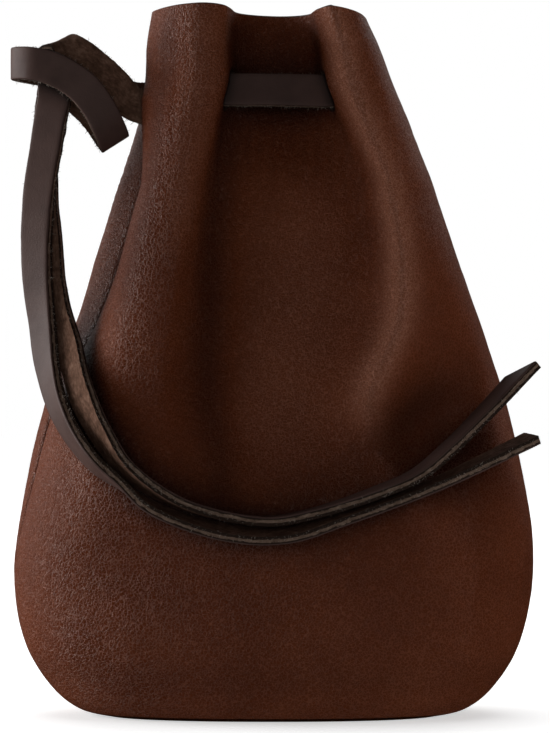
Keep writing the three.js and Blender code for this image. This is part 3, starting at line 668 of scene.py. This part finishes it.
# Level sections from rim to base, the same as in the solids: reach to each side, how far the leather is
# drawn into folds, which of the folds' plans it follows (0 the neck's, 1 the throat's, 2 the belly's), and
# the turn of the seams in degrees
SECTION_COLUMNS = ["height", "left", "right", "front", "back", "gather", "level", "left_seam", "right_seam"]
SECTIONS = [
    (153.2, 26.8, 20.4, 20.6, 18.6, 1, 0, 28, 8),
    (146.5, 28.0, 23.6, 20.4, 18.4, 1, 0, 28, 8),
    (138.4, 28.6, 26.7, 20.5, 18.5, 1, 0, 28, 8),
    (128.0, 31.4, 30.9, 21.2, 19.2, 0.98, 0.55, 30, 8),
    (117.0, 34.8, 35.2, 22.2, 20.3, 0.95, 1, 32, 8),
    (104.0, 38.9, 39.6, 23.7, 22.0, 0.92, 1.08, 31, 8),
    (88.0, 43.8, 45.6, 25.4, 24.0, 0.88, 1.36, 25, 7),
    (68.0, 51.0, 52.6, 26.6, 25.8, 0.82, 2, 19, 5),
    (47.0, 55.9, 56.8, 27.0, 27.0, 0.34, 2, 9, 2),
    (30.0, 57.6, 57.4, 26.8, 26.8, 0.03, 2, 2, 0),
    (16.0, 55.0, 54.6, 25.3, 25.3, 0, 2, 0, 0),
    (6.5, 49.5, 48.8, 22.4, 22.4, 0, 2, 0, 0),
    (1.6, 43.5, 42.8, 19.8, 19.8, 0, 2, 0, 0),
    (0.0, 37.0, 36.4, 17.0, 17.0, 0, 2, 0, 0),
]

# Places in SECTIONS at which the folds' plans are given, and their rows
LEVEL_ROWS = {"neck": 2, "throat": 4, "belly": 7}
LEVELS = named(SECTION_COLUMNS, [SECTIONS[row] for row in LEVEL_ROWS.values()])

# Folds of each panel from the left seam to the right seam, the same as in the solids: plan at the neck, the
# throat and the belly
FRONT_FOLDS = [
    ((-25.6, -3.2), (-28.6, -9.4), (-48.6, -10.0)),
    ((-28.4, -9.8), (-29.2, -13.8), (-44.4, -17.6)),
    ((-22.8, -17.6), (-26.8, -19.3), (-36.4, -23.8)),
    ((-16.4, -20.3), (-18.8, -20.6), (-25.6, -25.0)),
    ((-11.2, -18.4), (-16.4, -18.2), (-21.4, -22.8)),
    ((-7.8, -10.0), (-12.6, -14.0), (-15.9, -20.0)),
    ((0.8, -7.6), (3.0, -14.2), (-1.0, -19.6)),
    ((9.2, -9.8), (16.8, -14.8), (8.0, -20.4)),
    ((11.9, -15.8), (20.6, -17.6), (12.4, -23.0)),
    ((16.0, -20.0), (24.6, -21.6), (17.4, -26.6)),
    ((22.6, -16.0), (30.6, -15.6), (30.0, -20.0)),
    ((26.2, -6.6), (34.6, -6.0), (45.2, -13.0)),
    ((25.8, 2.0), (34.8, 2.6), (52.4, 3.1)),
]
BACK_FOLDS = [
    ((-25.6, -3.2), (-28.6, -9.4), (-48.6, -10.0)),
    ((-27.4, 1.6), (-34.0, -3.4), (-50.8, -3.0)),
    ((-27.2, 9.5), (-33.6, 7.0), (-47.5, 10.8)),
    ((-18.4, 18.4), (-22.0, 18.8), (-33.0, 21.8)),
    ((-10.4, 15.6), (-12.0, 18.4), (-18.0, 23.4)),
    ((-7.2, 9.4), (-6.4, 14.8), (-9.0, 23.2)),
    ((0.5, 7.4), (0.5, 13.4), (0.5, 22.8)),
    ((7.8, 9.4), (7.2, 14.8), (10.0, 23.6)),
    ((10.8, 15.4), (12.6, 18.2), (19.0, 24.6)),
    ((17.4, 18.5), (21.0, 20.2), (31.0, 22.8)),
    ((24.8, 11.5), (31.6, 12.4), (47.5, 12.4)),
    ((25.8, 2.0), (34.8, 2.6), (52.4, 3.1)),
]

# Dents of the front panel, the same as in the solids: middle, rise of its axis to the right in degrees, half
# length, half width and depth
DENT_COLUMNS = ["x", "z", "rise", "half_length", "half_width", "depth"]
DENTS = [
    (37.0, 66.0, 30, 23.0, 7.0, 4.0),
]


def dent_depth(x, z):
    """How far the front panel's points are pressed in at their places seen from the front."""
    total = 0
    for dent in named(DENT_COLUMNS, DENTS):
        rise = math.radians(dent["rise"])
        away_x, away_z = x - dent["x"], z - dent["z"]
        along = (away_x * math.cos(rise) + away_z * math.sin(rise)) / dent["half_length"]
        beside = (away_z * math.cos(rise) - away_x * math.sin(rise)) / dent["half_width"]
        total = total + dent["depth"] * np.exp(-along ** 2 - beside ** 2)
    return total


def by_side(points, sizes):
    """The size given for the side that each point lies on: left or right, and front or back."""
    x, y = points[..., 0], points[..., 1]
    return np.stack([np.where(x < 0, sizes["left"], sizes["right"]),
                     np.where(y < 0, sizes["front"], sizes["back"])], axis=-1)


def fold_places(folds):
    """Places along a panel's table of folds, evenly spaced at the neck."""
    return Spline([fold[0] for fold in folds]).even_places(SECTION_SAMPLES)


def fold_curves(folds):
    """A panel's folds at each level, in shares of the reach to each side there. Points are evenly spaced
    along the neck, and lower down each lies on the same fold as at the neck."""
    places = fold_places(folds)
    plans = [Spline(level).at(places) for level in zip(*folds)]
    return np.array([plan / by_side(plan, reach) for plan, reach in zip(plans, LEVELS)])


def smooth_curve(reach, from_degrees, to_degrees):
    """A panel's share of a smooth section between two angles, counted from the left through the front."""
    angles = np.radians(np.linspace(from_degrees, to_degrees, 4 * SECTION_SAMPLES + 1))
    circle = np.stack([np.cos(angles), np.sin(angles)], axis=-1)
    points = -np.sign(circle) * np.abs(circle) ** (2 / ROUNDNESS)
    points = points * by_side(points, reach)
    reached = run_of(points)
    goals = np.linspace(0, reached[-1], SECTION_SAMPLES + 1)
    return np.stack([np.interp(goals, reached, points[:, k]) for k in range(2)], axis=-1)


SIDES = {"front": -1, "back": 1}
FOLDS = {"front": FRONT_FOLDS, "back": BACK_FOLDS}
CURVES = {side: fold_curves(folds) for side, folds in FOLDS.items()}
SECTION_SPLINE = Spline(SECTIONS, centripetal=False, flat_ends=True)


def section(position):
    """The outer plan curve of both panels at a row position of SECTIONS, fitted to that section's reach."""
    reach = dict(zip(SECTION_COLUMNS, SECTION_SPLINE.at(position)))
    curves = {}
    upper = min(int(reach["level"]), 1)
    lower_share = reach["level"] - upper
    for side, folds in CURVES.items():
        smooth = smooth_curve(reach, reach["left_seam"], reach["right_seam"] - SIDES[side] * 180)
        shares = folds[upper] + (folds[upper + 1] - folds[upper]) * lower_share
        folded = shares * by_side(shares, reach)
        curves[side] = smooth + (folded - smooth) * reach["gather"]
    both = np.vstack(list(curves.values()))
    fit = {"left": -reach["left"] / both[:, 0].min(), "right": reach["right"] / both[:, 0].max(),
           "front": -reach["front"] / both[:, 1].min(), "back": reach["back"] / both[:, 1].max()}
    return {side: curve * by_side(curve, fit) for side, curve in curves.items()}, reach


def row_positions():
    """Row positions from rim to base ring, evenly spaced down the profile."""
    positions = np.linspace(0, len(SECTIONS) - 1, PROFILE_SAMPLES)
    profile = SECTION_SPLINE.at(positions)[:, [0, 1]]
    reached = run_of(profile)
    return np.interp(np.linspace(0, reached[-1], WALL_ROWS + 1), reached, positions)


def inside_seams(curve, shares):
    """Points of a plan curve at shares of it, kept clear of the seams by the width of the turned edge."""
    margin = (SEAM_ROLL + SEAM_GAP / 2) / run_of(curve)[-1]
    places = (margin + (1 - 2 * margin) * np.asarray(shares)) * SECTION_SAMPLES
    rows = np.minimum(places.astype(int), SECTION_SAMPLES - 1)
    return curve[rows] + (curve[rows + 1] - curve[rows]) * (places - rows)[..., None]


def raised(plan, reach, position):
    """Points of a section's plan at its height. The rim rises at the folds, and falls to the right."""
    rim_share = max(0, 1 - position / RIM_ROWS)
    x, y = plan[..., 0], plan[..., 1]
    depth = np.abs(plan / by_side(plan, reach))[..., 1]
    return np.stack([x, y, reach["height"] + rim_share * (RIM_LIFT * depth - RIM_SLOPE * x)], axis=-1)


WALL = [(position, *section(position)) for position in row_positions()]


def panel_rows(side):
    """Rows of outer points of a panel from rim to bottom seam, short of the turned edges."""
    outward = SIDES[side]
    shares = np.linspace(0, 1, COLUMNS + 1)
    rows = [raised(inside_seams(curves[side], shares), reach, position) for position, curves, reach in WALL]
    if side == "front":
        for row in rows:
            row[:, 1] += dent_depth(row[:, 0], row[:, 2])
    seam_y = SEAM_ROLL + SEAM_GAP / 2
    ring = rows[-1]
    ring[:, 1] = outward * np.maximum(outward * ring[:, 1], seam_y)
    for r in range(1, BASE_ROWS + 1):
        row = ring.copy()
        row[:, 1] += (outward * seam_y - row[:, 1]) * r / BASE_ROWS
        row[:, 2] = 0
        rows.append(row)
    return np.array(rows)


def seam_places(side, rows):
    """Points of the seam down the left side, along the bottom and up the right side, the way across it to
    the other panel, and the way into the pouch."""
    outward = SIDES[side]
    other = "back" if side == "front" else "front"
    left, right = [], []
    for position, curves, reach in WALL:
        here, there = (inside_seams(curves[which], [0.0, 1.0]) for which in (side, other))
        across = np.pad(unit(there - here), ((0, 0), (0, 1)))
        ends = raised(curves[side][[0, -1]], reach, position)
        left.append((ends[0], across[0]))
        right.append((ends[1], across[1]))
    bottom = [((x, 0, 0), (0, -outward, 0)) for x in rows[-1, 1:-1, 0]]
    places = left + bottom + right[::-1]
    points = np.array([place[0] for place in places], float)
    across = np.array([place[1] for place in places], float)
    ahead = np.vstack([points[1:], points[-1:]])
    behind = np.vstack([points[:1], points[:-1]])
    run = unit(ahead - behind)
    across = unit(across - run * np.sum(run * across, axis=-1, keepdims=True))
    return points, across, np.cross(run, across) * -outward


def point_normals(points, faces):
    """Area-weighted normals of a mesh of four-cornered faces."""
    normals = np.zeros_like(points)
    corners = points[faces]
    flat = np.cross(corners[:, 2] - corners[:, 0], corners[:, 3] - corners[:, 1])
    for k in range(4):
        np.add.at(normals, faces[:, k], flat)
    return unit(normals)


# Fine wrinkles of a panel: middle of the place, half of its width and height, spacing, depth, and whether
# the wrinkles lie level or hang
WRINKLE_COLUMNS = ["x", "z", "half_wide", "half_high", "spacing", "depth", "way"]
WRINKLES = {
    "front": [
        (3.0, 123.0, 15.0, 10.0, 2.7, 0.16, "hanging"),
        (4.0, 112.5, 10.0, 5.0, 1.9, 0.1, "level"),
        (22.0, 118.0, 8.0, 16.0, 2.4, 0.08, "hanging"),
        (-20.0, 132.0, 9.0, 16.0, 2.6, 0.04, "hanging"),
    ],
    "back": [
        (-30.0, 112.0, 6.0, 14.0, 2.2, 0.12, "level"),
        (0.0, 124.0, 22.0, 12.0, 2.8, 0.15, "hanging"),
    ],
}

# How far the wrinkles wander to the side, the size of that, and its seed
WANDER = 1.1
WANDER_SIZE = 6.0
WANDER_SEED = 4

# Unevenness of handled leather, which fades out towards the floor: height, size of the bumps, and seed
UNEVEN_COLUMNS = ["height", "size", "seed"]
UNEVEN = [
    (0.35, 26.0, 1),
    (0.18, 11.0, 2),
    (0.05, (3.2, 3.2, 2.0), 3),
]
EVEN_AT_FLOOR = 12.0


def wrinkle_depth(points, side):
    """How far fine wrinkles lift each point of a panel."""
    x, z = points[:, 0], points[:, 2]
    wander = WANDER * rough(points, WANDER_SIZE, WANDER_SEED)
    total = np.zeros(len(points))
    for wrinkle in named(WRINKLE_COLUMNS, WRINKLES[side]):
        away_x = (x - wrinkle["x"]) / wrinkle["half_wide"]
        away_z = (z - wrinkle["z"]) / wrinkle["half_high"]
        across = x if wrinkle["way"] == "hanging" else z
        wave = np.sin(2 * math.pi * (across + wander) / wrinkle["spacing"])
        total += wrinkle["depth"] * np.exp(-away_x ** 2 - away_z ** 2) * wave
    return total


def wrinkled(points, normals, side):
    """Points moved in and out along their normals, as handled leather is never quite even."""
    lift = wrinkle_depth(points, side)
    for bumps in named(UNEVEN_COLUMNS, UNEVEN):
        lift += bumps["height"] * rough(points, bumps["size"], bumps["seed"])
    above_floor = np.clip(points[:, 2] / EVEN_AT_FLOOR, 0, 1)
    return points + normals * (lift * above_floor)[:, None]


# Places where highlights and shade are painted into the leather, the pale ones partly rubbed wear, the dark
# ones below 0 painted shade in creases and hollows: row in the table of folds, how far, half of the width, and
# the heights towards which it fades out
PAINTED_LIGHT_COLUMNS = ["fold", "strength", "half_width", "low", "high"]
PAINTED_LIGHT_AND_WEAR = {
    "front": [
        (1.7, -0.4, 3.0, 80, 165),
        (3, 0.3, 6.0, 95, 165),
        (4.5, -0.3, 4.0, 60, 150),
        (5, -0.45, 4.0, 35, 165),
        (6, 0.26, 13.0, 50, 122),
        (7.5, -0.25, 4.5, 92, 165),
        (9.1, 0.95, 4.6, 58, 165),
        (10.2, -0.4, 8.0, 34, 75),
        (11, -0.4, 5.0, 44, 84),
    ],
    "back": [
        (3, 0.5, 4.0, 58, 165),
        (4.6, -0.35, 4.0, 70, 165),
        (7.4, -0.35, 4.0, 70, 165),
        (9, 0.5, 4.0, 58, 165),
    ],
}
PAINTED_LIGHT_FADE = 16.0


def painted_light_and_wear(side, height, across):
    """Painted light at points of a panel, from -1 where shade is painted to 1 where a highlight is painted,
    partly rubbed pale.
    """
    neck_shares = np.linspace(0, 1, SECTION_SAMPLES + 1)
    total = np.zeros(height.shape)
    for place in named(PAINTED_LIGHT_COLUMNS, PAINTED_LIGHT_AND_WEAR[side]):
        fold_share = np.interp(place["fold"], fold_places(FOLDS[side]), neck_shares)
        away = across - across[:, [round(fold_share * COLUMNS)]]
        fade_in = np.clip((height - place["low"]) / PAINTED_LIGHT_FADE, 0, 1)
        fade_out = np.clip((place["high"] - height) / PAINTED_LIGHT_FADE, 0, 1)
        total += place["strength"] * np.exp(-(away / place["half_width"]) ** 2) * fade_in * fade_out
    return np.clip(total, -1, 1)


PANEL_MATERIALS = [pouch_grain_material(), pouch_edge_material(), pouch_flesh_material()]


class Skin:
    """The outer face of a panel: points with their normals and their lay, and four-cornered faces."""

    def __init__(self, side):
        rows = panel_rows(side)
        index = np.arange(rows[..., 0].size).reshape(rows.shape[:2])
        # The rows of the base all start and end where the wall does
        index[WALL_ROWS + 1:, 0] = index[WALL_ROWS, 0]
        index[WALL_ROWS + 1:, -1] = index[WALL_ROWS, -1]
        corners = [index[:-1, :-1], index[1:, :-1], index[1:, 1:], index[:-1, 1:]]
        self.side = side
        self.rows = rows
        self.index = index
        self.outward = SIDES[side]
        self.faces = np.stack(corners, axis=-1).reshape(-1, 4)[:, ::-self.outward]
        even = rows.reshape(-1, 3)
        self.normals = point_normals(even, self.faces)
        self.points = wrinkled(even, self.normals, side)
        self.across_run = np.array([run_of(row) for row in rows])
        steps = length_of(np.diff(rows, axis=0))[..., 0]
        self.down_run = np.cumsum(np.vstack([np.zeros((1, COLUMNS + 1)), steps]), axis=0)
        self.uv = np.stack([self.across_run, -self.down_run], axis=-1).reshape(-1, 2)
        self.turn_in()

    def turn_in(self):
        """Adds the edges that turn in, down the left side, along the bottom and up the right side."""
        index = self.index
        seam = np.concatenate([index[:WALL_ROWS + 1, 0], index[-1, 1:-1], index[WALL_ROWS::-1, -1]])
        seam_points, across, inward = seam_places(self.side, self.rows)
        corner = seam_points - across * SEAM_GAP / 2
        end = corner + inward * SEAM_ROLL
        self.rings = [seam]
        for step in range(1, ROLL_STEPS + 1):
            turn = step / ROLL_STEPS
            start = self.points[seam]
            turned = (1 - turn) ** 2 * start + 2 * turn * (1 - turn) * corner + turn ** 2 * end
            ring = np.arange(len(seam)) + len(self.points)
            last = self.rings[-1]
            strip = np.stack([last[:-1], ring[:-1], ring[1:], last[1:]], axis=-1)
            self.points = np.vstack([self.points, turned])
            tilted = unit(self.normals[seam] * (1 - turn) + across * turn)
            self.normals = np.vstack([self.normals, tilted])
            self.uv = np.vstack([self.uv, self.uv[seam]])
            self.faces = np.vstack([self.faces, strip[:, ::-self.outward]])
            self.rings.append(ring)

    def free_edge(self):
        """Points along the last turn and then over the rim from right to left, and which are the rim's."""
        rim = [ring[-1] for ring in self.rings[-2:0:-1]] + list(self.index[0, ::-1])
        rim += [ring[0] for ring in self.rings[1:-1]]
        free = np.concatenate([self.rings[-1], rim])
        is_rim = np.concatenate([np.zeros(len(self.rings[-1])), np.ones(len(rim))])[:, None]
        if self.outward > 0:
            return free[::-1], is_rim[::-1]
        return free, is_rim


def thickened(skin):
    """A skin given its thickness, with a domed rim: points, lay, faces and their material slots."""
    free, is_rim = skin.free_edge()
    count = len(skin.points)
    inner = skin.points - skin.normals * LEATHER
    walls = [free]
    between = []
    for step in range(1, EDGE_STEPS):
        share = step / EDGE_STEPS
        dome = is_rim * RIM_DOME * 4 * share * (1 - share) * np.array([[0, 0, 1]])
        between.append(skin.points[free] + (inner[free] - skin.points[free]) * share + dome)
        walls.append(2 * count + (step - 1) * len(free) + np.arange(len(free)))
    walls.append(free + count)
    edge_faces = []
    for near, far in zip(walls, walls[1:]):
        edge_faces.append(np.stack([near, far, np.roll(far, -1), np.roll(near, -1)], axis=-1))
    layers = [skin.faces, skin.faces[:, ::-1] + count, np.vstack(edge_faces)]
    slots = np.repeat([GRAIN, FLESH, EDGE], [len(layer) for layer in layers])
    points = np.vstack([skin.points, inner, *between])
    uv = np.vstack([skin.uv, skin.uv] + [skin.uv[free]] * len(between))
    return points, uv, np.vstack(layers), slots


def panel_piece(side):
    """One panel with its sides and its bottom turned in towards the seam, its painted highlights and shade, and
    its slits.
    """
    skin = Skin(side)
    points, uv, faces, slots = thickened(skin)
    # Corners that fall together at the ends of the base are one, and points that no face needs go
    used = np.zeros(len(points), bool)
    used[faces] = True
    renumber = np.cumsum(used) - 1
    faces = [list(dict.fromkeys(face)) for face in renumber[faces].tolist()]
    kept = [k for k, face in enumerate(faces) if len(face) > 2]
    piece = make_piece(side + "_panel_leather", points[used], [faces[k] for k in kept], PANEL_MATERIALS,
                       slots[kept], uv[used])
    # Painted highlights and shade for each point of the panel
    painted_light = painted_light_and_wear(side, skin.rows[..., 2], skin.across_run).ravel()
    unpainted = np.zeros(len(points) - len(painted_light))
    set_point_values(piece, "painted_light_and_wear", np.concatenate([painted_light, unpainted])[used])
    cut_slits(piece, side)
    flat_width = skin.across_run[:, -1].max() + 2 * SEAM_ROLL
    flat_length = skin.down_run.max() + SEAM_ROLL
    return piece, flat_width * MM, flat_length * MM


def slit_cutters(side):
    """Closed slots with round ends, a little wider than the lace, set along it at the panel's slits."""
    rows = [k for k, row in enumerate(LOOP_COURSE) if row[2:] == (side,)]
    middle, run, grain, across = lace_frames(LOOP_COURSE, np.array(rows, float))
    wide, high = LACE_WIDTH / 2 + SLIT_PLAY, LACE_THICKNESS / 2 + SLIT_PLAY
    turn_steps = 8
    angles = np.linspace(-math.pi / 2, math.pi / 2, turn_steps + 1)
    half = np.column_stack([wide - high + high * np.cos(angles), high * np.sin(angles)])
    outline = np.vstack([half, -half])
    sides = len(outline)
    points, faces = [], []
    for k in range(len(rows)):
        base = len(points)
        for depth in (-SLIT_DEPTH / 2, SLIT_DEPTH / 2):
            points.extend(middle[k] + run[k] * depth + across[k] * x + grain[k] * y for x, y in outline)
        faces.append([base + i for i in range(sides)])
        faces.append([base + sides + i for i in range(sides)][::-1])
        for a, b, far_b, far_a in tube_faces(sides, 2):
            faces.append([base + a, base + far_a, base + far_b, base + b])
    return points, faces


def cut_slits(piece, side):
    """Cuts the panel's slits through it."""
    points, faces = slit_cutters(side)
    no_lay = np.zeros((len(points), 2))
    cutter = make_piece("slit_cutter", points, faces, PANEL_MATERIALS, np.full(len(faces), EDGE), no_lay)
    cut = piece.modifiers.new("slits", "BOOLEAN")
    cut.operation = "DIFFERENCE"
    cut.solver = "MANIFOLD"
    cut.object = cutter
    whole = piece.data
    piece.data = bpy.data.meshes.new_from_object(piece.evaluated_get(bpy.context.evaluated_depsgraph_get()))
    piece.modifiers.clear()
    bpy.data.meshes.remove(whole)
    bpy.data.meshes.remove(cutter.data)


for panel_side in SIDES:
    panel, panel_width, panel_length = panel_piece(panel_side)
    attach(panel, "root")
    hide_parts(panel_side + "_panel")

# Floor and light, in metres and watts
FLOOR_SIZE = 6.0
SHADOW_REACH = 0.05
MIDDLE = (0, 0, 0.075)
STRAIGHT_UP = (0, 0, 1)
LIGHT_COLUMNS = ["name", "at", "towards", "width", "height", "power", "gloss"]
LIGHTS = [
    ("left_softbox", (-0.895, -0.11, 0.2), MIDDLE, 0.4, 0.6, 2.5, True),
    ("left_rim_light", (-0.87, 0.23, 0.2), MIDDLE, 0.4, 0.6, 6.2, True),
    ("right_rim_light", (0.895, 0.03, 0.05), MIDDLE, 0.4, 0.6, 3.2, False),
    ("front_fill", (0.0, -1.4, 0.1), MIDDLE, 1.0, 0.8, 2.5, True),
    ("floor_bounce", (0.0, 0.0, 0.0008), STRAIGHT_UP, 1.6, 1.6, 2.0, False),
    ("back_light", (0.0, 0.9, 0.7), MIDDLE, 1.6, 0.9, 4.0, True),
]


def floor_piece():
    """White paper that glows, but for a contact shadow round what stands on it."""
    half = FLOOR_SIZE / 2 / MM
    corners = [(-half, -half, 0), (half, -half, 0), (half, half, 0), (-half, half, 0)]
    n = Nodes("floor_paper")
    patch = n.noise(n.place(), 3)
    n.shade(Base_Color=n.ramp(patch, FLOOR_WHITES, low=0.0, high=1.0), Roughness=0.9, Specular_IOR_Level=0.0)
    near = {"Distance": SHADOW_REACH}
    shelter = n.add("AmbientOcclusion", near, samples=16).outputs["AO"]
    glow = n.spread(shelter, 0.4, 0.97, to_low=0.55, to_high=1.0)
    n.shade(Emission_Color=WHITE, Emission_Strength=glow)
    floor = make_piece("floor", corners, [(0, 1, 2, 3)], [n.material], [0], np.zeros((4, 2)))
    floor.visible_diffuse = False
    floor.visible_glossy = False


def aimed_along(direction):
    """Rotation that points an object's -Z along a direction."""
    flat = math.hypot(direction[0], direction[1])
    return (math.atan2(flat, -direction[2]), 0, math.atan2(direction[0], -direction[1]) + math.pi)


def area_light(name, at, towards, width, height, power, gloss):
    """A soft box that the camera doesn't see, and that need not show as a gloss."""
    data = bpy.data.lights.new(name, "AREA")
    data.shape = "RECTANGLE"
    data.size = width
    data.size_y = height
    data.energy = power
    light = bpy.data.objects.new(name, data)
    light.location = at
    light.rotation_euler = aimed_along(np.subtract(towards, at))
    light.visible_camera = False
    light.visible_glossy = gloss
    bpy.context.scene.collection.objects.link(light)


def studio_world():
    """A plain white surround that is seen behind the pouch, and leaves its lighting to the soft boxes."""
    world = bpy.data.worlds.new("studio")
    world.use_nodes = True
    background = world.node_tree.nodes["Background"]
    background.inputs["Color"].default_value = (*WHITE, 1)
    background.inputs["Strength"].default_value = 1.0
    bpy.context.scene.world = world
    world.cycles_visibility.diffuse = False
    world.cycles_visibility.glossy = False


floor_piece()
studio_world()
bpy.context.scene.view_settings.view_transform = "Standard"
for light_row in named(LIGHT_COLUMNS, LIGHTS):
    area_light(**light_row)
